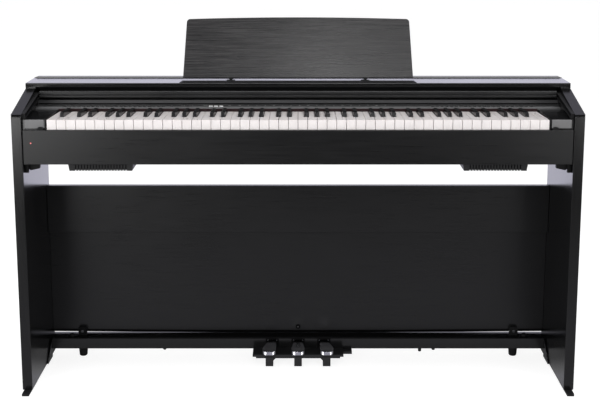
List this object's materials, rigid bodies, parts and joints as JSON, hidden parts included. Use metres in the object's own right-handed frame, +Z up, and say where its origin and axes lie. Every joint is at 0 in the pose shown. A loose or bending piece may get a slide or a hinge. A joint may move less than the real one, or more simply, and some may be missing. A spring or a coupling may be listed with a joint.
{
  "type": "digital piano on stand",
  "caption": "Compact console digital piano: keyboard body with sliding key cover, control panel and lift-out music rest on side panels, with back boards and a bottom bar with pedals.",
  "frame": {"origin": "middle of the footprint, on the floor", "axes": "+X to the player's right along the keyboard, +Y from the player to the back, +Z up"},
  "size_m": [1.391, 0.299, 0.926],
  "materials": {
    "black_board_finish": "satin black wood-grain laminate over chipboard",
    "plain_board": "plain dark fibreboard",
    "black_plastic": "fine-textured black plastic",
    "cover_plastic": "satin black extruded plastic",
    "button_plastic": "dark grey satin plastic",
    "pale_button_plastic": "pale grey satin plastic",
    "chassis_plastic": "grey moulded plastic",
    "white_key_plastic": "satin white key plastic",
    "black_key_plastic": "matt black key plastic",
    "pedal_chrome": "polished chrome plate",
    "black_metal": "black powder coat on pressed steel",
    "speaker_metal": "dark paper cone in a painted steel basket",
    "screw_steel": "blackened and bright zinc-plated steel",
    "red_felt": "red wool felt",
    "black_rubber": "matt black rubber",
    "circuit_green": "green circuit board",
    "red_lamp": "clear red lens"
  },
  "bodies": {
    "stand_and_case": {"side_panel_right": "black_board_finish", "side_panel_left": "black_board_finish", "back_board_upper": "black_board_finish", "back_board_lower": "black_board_finish", "bottom_bar": "black_board_finish", "top_lid": "black_board_finish", "key_slip": "black_board_finish", "keybed": "plain_board", "back_panel": "plain_board", "stand_feet": "black_plastic", "pedal_box": "black_plastic", "jack_panel": "black_plastic", "cheek_blocks": "black_plastic", "control_panel": "black_plastic", "cover_guides": "black_plastic", "peg_sockets": "black_plastic", "speaker_boxes": "black_plastic", "key_chassis": "chassis_plastic", "stand_brackets": "black_metal", "speaker_drivers": "speaker_metal", "fasteners": "screw_steel", "key_felt": "red_felt", "slip_pads": "black_rubber", "music_mat": "black_rubber", "circuit_boards": "circuit_green", "power_lamp": "red_lamp"},
    "key_c4": {"key_c4": "white_key_plastic"},
    "key_d4": {"key_d4": "white_key_plastic"},
    "key_e4": {"key_e4": "white_key_plastic"},
    "key_f4": {"key_f4": "white_key_plastic"},
    "key_g4": {"key_g4": "white_key_plastic"},
    "key_a4": {"key_a4": "white_key_plastic"},
    "key_b4": {"key_b4": "white_key_plastic"},
    "key_c_sharp_4": {"key_c_sharp_4": "black_key_plastic"},
    "key_d_sharp_4": {"key_d_sharp_4": "black_key_plastic"},
    "key_f_sharp_4": {"key_f_sharp_4": "black_key_plastic"},
    "key_g_sharp_4": {"key_g_sharp_4": "black_key_plastic"},
    "key_a_sharp_4": {"key_a_sharp_4": "black_key_plastic"},
    "outer_c_keys": {"outer_c_keys": "white_key_plastic"},
    "outer_d_keys": {"outer_d_keys": "white_key_plastic"},
    "outer_e_keys": {"outer_e_keys": "white_key_plastic"},
    "outer_f_keys": {"outer_f_keys": "white_key_plastic"},
    "outer_g_keys": {"outer_g_keys": "white_key_plastic"},
    "outer_a_keys": {"outer_a_keys": "white_key_plastic"},
    "outer_b_keys": {"outer_b_keys": "white_key_plastic"},
    "outer_black_pairs": {"outer_black_pairs": "black_key_plastic"},
    "outer_black_threes": {"outer_black_threes": "black_key_plastic"},
    "pedal_left": {"pedal_left": "pedal_chrome"},
    "pedal_middle": {"pedal_middle": "pedal_chrome"},
    "pedal_right": {"pedal_right": "pedal_chrome"},
    "cover_rollers": {"cover_rollers": "black_plastic"},
    "cover_front_leaf": {"cover_front_leaf": "cover_plastic"},
    "cover_rear_leaf": {"cover_rear_leaf": "cover_plastic"},
    "function_button": {"function_button": "pale_button_plastic"},
    "tone_button": {"tone_button": "pale_button_plastic"},
    "metronome_button": {"metronome_button": "pale_button_plastic"},
    "power_button": {"power_button": "button_plastic"},
    "volume_slider": {"volume_slider": "button_plastic"},
    "music_rest": {"music_rest_board": "black_board_finish", "music_rest_pegs": "black_plastic"}
  },
  "joints": [
    {"name": "key_c4_press", "type": "hinge", "parent": "stand_and_case", "child": "key_c4", "pos_m": [0, 0.1085, 0.6735], "axis": [1, 0, 0], "range_deg": [0, 2.55], "stiffness_Nm_per_rad": 2, "springref_deg": -5.73},
    {"name": "key_d4_press", "type": "hinge", "parent": "stand_and_case", "child": "key_d4", "pos_m": [0, 0.1085, 0.6735], "axis": [1, 0, 0], "range_deg": [0, 2.55], "stiffness_Nm_per_rad": 2, "springref_deg": -5.73},
    {"name": "key_e4_press", "type": "hinge", "parent": "stand_and_case", "child": "key_e4", "pos_m": [0, 0.1085, 0.6735], "axis": [1, 0, 0], "range_deg": [0, 2.55], "stiffness_Nm_per_rad": 2, "springref_deg": -5.73},
    {"name": "key_f4_press", "type": "hinge", "parent": "stand_and_case", "child": "key_f4", "pos_m": [0, 0.1085, 0.6735], "axis": [1, 0, 0], "range_deg": [0, 2.55], "stiffness_Nm_per_rad": 2, "springref_deg": -5.73},
    {"name": "key_g4_press", "type": "hinge", "parent": "stand_and_case", "child": "key_g4", "pos_m": [0, 0.1085, 0.6735], "axis": [1, 0, 0], "range_deg": [0, 2.55], "stiffness_Nm_per_rad": 2, "springref_deg": -5.73},
    {"name": "key_a4_press", "type": "hinge", "parent": "stand_and_case", "child": "key_a4", "pos_m": [0, 0.1085, 0.6735], "axis": [1, 0, 0], "range_deg": [0, 2.55], "stiffness_Nm_per_rad": 2, "springref_deg": -5.73},
    {"name": "key_b4_press", "type": "hinge", "parent": "stand_and_case", "child": "key_b4", "pos_m": [0, 0.1085, 0.6735], "axis": [1, 0, 0], "range_deg": [0, 2.55], "stiffness_Nm_per_rad": 2, "springref_deg": -5.73},
    {"name": "key_c_sharp_4_press", "type": "hinge", "parent": "stand_and_case", "child": "key_c_sharp_4", "pos_m": [0, 0.1085, 0.6735], "axis": [1, 0, 0], "range_deg": [0, 2.55], "stiffness_Nm_per_rad": 1.3, "springref_deg": -5.73},
    {"name": "key_d_sharp_4_press", "type": "hinge", "parent": "stand_and_case", "child": "key_d_sharp_4", "pos_m": [0, 0.1085, 0.6735], "axis": [1, 0, 0], "range_deg": [0, 2.55], "stiffness_Nm_per_rad": 1.3, "springref_deg": -5.73},
    {"name": "key_f_sharp_4_press", "type": "hinge", "parent": "stand_and_case", "child": "key_f_sharp_4", "pos_m": [0, 0.1085, 0.6735], "axis": [1, 0, 0], "range_deg": [0, 2.55], "stiffness_Nm_per_rad": 1.3, "springref_deg": -5.73},
    {"name": "key_g_sharp_4_press", "type": "hinge", "parent": "stand_and_case", "child": "key_g_sharp_4", "pos_m": [0, 0.1085, 0.6735], "axis": [1, 0, 0], "range_deg": [0, 2.55], "stiffness_Nm_per_rad": 1.3, "springref_deg": -5.73},
    {"name": "key_a_sharp_4_press", "type": "hinge", "parent": "stand_and_case", "child": "key_a_sharp_4", "pos_m": [0, 0.1085, 0.6735], "axis": [1, 0, 0], "range_deg": [0, 2.55], "stiffness_Nm_per_rad": 1.3, "springref_deg": -5.73},
    {"name": "outer_c_keys_press", "type": "hinge", "parent": "stand_and_case", "child": "outer_c_keys", "pos_m": [0, 0.1085, 0.6735], "axis": [1, 0, 0], "range_deg": [0, 2.55], "stiffness_Nm_per_rad": 14, "springref_deg": -5.73},
    {"name": "outer_d_keys_press", "type": "hinge", "parent": "stand_and_case", "child": "outer_d_keys", "pos_m": [0, 0.1085, 0.6735], "axis": [1, 0, 0], "range_deg": [0, 2.55], "stiffness_Nm_per_rad": 12, "springref_deg": -5.73},
    {"name": "outer_e_keys_press", "type": "hinge", "parent": "stand_and_case", "child": "outer_e_keys", "pos_m": [0, 0.1085, 0.6735], "axis": [1, 0, 0], "range_deg": [0, 2.55], "stiffness_Nm_per_rad": 12, "springref_deg": -5.73},
    {"name": "outer_f_keys_press", "type": "hinge", "parent": "stand_and_case", "child": "outer_f_keys", "pos_m": [0, 0.1085, 0.6735], "axis": [1, 0, 0], "range_deg": [0, 2.55], "stiffness_Nm_per_rad": 12, "springref_deg": -5.73},
    {"name": "outer_g_keys_press", "type": "hinge", "parent": "stand_and_case", "child": "outer_g_keys", "pos_m": [0, 0.1085, 0.6735], "axis": [1, 0, 0], "range_deg": [0, 2.55], "stiffness_Nm_per_rad": 12, "springref_deg": -5.73},
    {"name": "outer_a_keys_press", "type": "hinge", "parent": "stand_and_case", "child": "outer_a_keys", "pos_m": [0, 0.1085, 0.6735], "axis": [1, 0, 0], "range_deg": [0, 2.55], "stiffness_Nm_per_rad": 14, "springref_deg": -5.73},
    {"name": "outer_b_keys_press", "type": "hinge", "parent": "stand_and_case", "child": "outer_b_keys", "pos_m": [0, 0.1085, 0.6735], "axis": [1, 0, 0], "range_deg": [0, 2.55], "stiffness_Nm_per_rad": 14, "springref_deg": -5.73},
    {"name": "outer_black_pairs_press", "type": "hinge", "parent": "stand_and_case", "child": "outer_black_pairs", "pos_m": [0, 0.1085, 0.6735], "axis": [1, 0, 0], "range_deg": [0, 2.55], "stiffness_Nm_per_rad": 15.6, "springref_deg": -5.73},
    {"name": "outer_black_threes_press", "type": "hinge", "parent": "stand_and_case", "child": "outer_black_threes", "pos_m": [0, 0.1085, 0.6735], "axis": [1, 0, 0], "range_deg": [0, 2.55], "stiffness_Nm_per_rad": 24.7, "springref_deg": -5.73},
    {"name": "pedal_left_press", "type": "hinge", "parent": "stand_and_case", "child": "pedal_left", "pos_m": [-0.07, 0.1125, 0.0475], "axis": [1, 0, 0], "range_deg": [0, 8], "stiffness_Nm_per_rad": 6, "springref_deg": -6.88},
    {"name": "pedal_middle_press", "type": "hinge", "parent": "stand_and_case", "child": "pedal_middle", "pos_m": [0, 0.1125, 0.0475], "axis": [1, 0, 0], "range_deg": [0, 8], "stiffness_Nm_per_rad": 6, "springref_deg": -6.88},
    {"name": "pedal_right_press", "type": "hinge", "parent": "stand_and_case", "child": "pedal_right", "pos_m": [0.07, 0.1125, 0.0475], "axis": [1, 0, 0], "range_deg": [0, 8], "stiffness_Nm_per_rad": 6, "springref_deg": -6.88},
    {"name": "cover_slide", "type": "slide", "parent": "stand_and_case", "child": "cover_rollers", "axis": [0, -0.9848, -0.1735], "range_m": [0, 0.15738]},
    {"name": "cover_tilt", "type": "hinge", "parent": "cover_rollers", "child": "cover_front_leaf", "pos_m": [0, 0.0475, 0.735], "axis": [1, 0, 0], "range_deg": [0, 10]},
    {"name": "cover_extend", "type": "slide", "parent": "cover_front_leaf", "child": "cover_rear_leaf", "axis": [0, 1, 0], "range_m": [0, 0.069]},
    {"name": "function_button_press", "type": "slide", "parent": "stand_and_case", "child": "function_button", "axis": [0, 0.2261, -0.9741], "range_m": [0, 0.001], "stiffness_N_per_m": 400, "springref_m": -0.001},
    {"name": "tone_button_press", "type": "slide", "parent": "stand_and_case", "child": "tone_button", "axis": [0, 0.2261, -0.9741], "range_m": [0, 0.001], "stiffness_N_per_m": 400, "springref_m": -0.001},
    {"name": "metronome_button_press", "type": "slide", "parent": "stand_and_case", "child": "metronome_button", "axis": [0, 0.2261, -0.9741], "range_m": [0, 0.001], "stiffness_N_per_m": 400, "springref_m": -0.001},
    {"name": "power_button_press", "type": "slide", "parent": "stand_and_case", "child": "power_button", "axis": [0, 0.2261, -0.9741], "range_m": [0, 0.001], "stiffness_N_per_m": 400, "springref_m": -0.001},
    {"name": "volume_slide", "type": "slide", "parent": "stand_and_case", "child": "volume_slider", "axis": [1, 0, 0], "range_m": [-0.011, 0.011]},
    {"name": "music_rest_lift", "type": "slide", "parent": "stand_and_case", "child": "music_rest", "axis": [0, 0.2924, 0.9563], "range_m": [0, 0.04]}
  ],
  "couplings": [
    {"joint": "cover_tilt", "follows": "cover_slide", "rad_per_m": 1.1089},
    {"joint": "cover_extend", "follows": "cover_slide", "ratio": 0.4384}
  ]
}
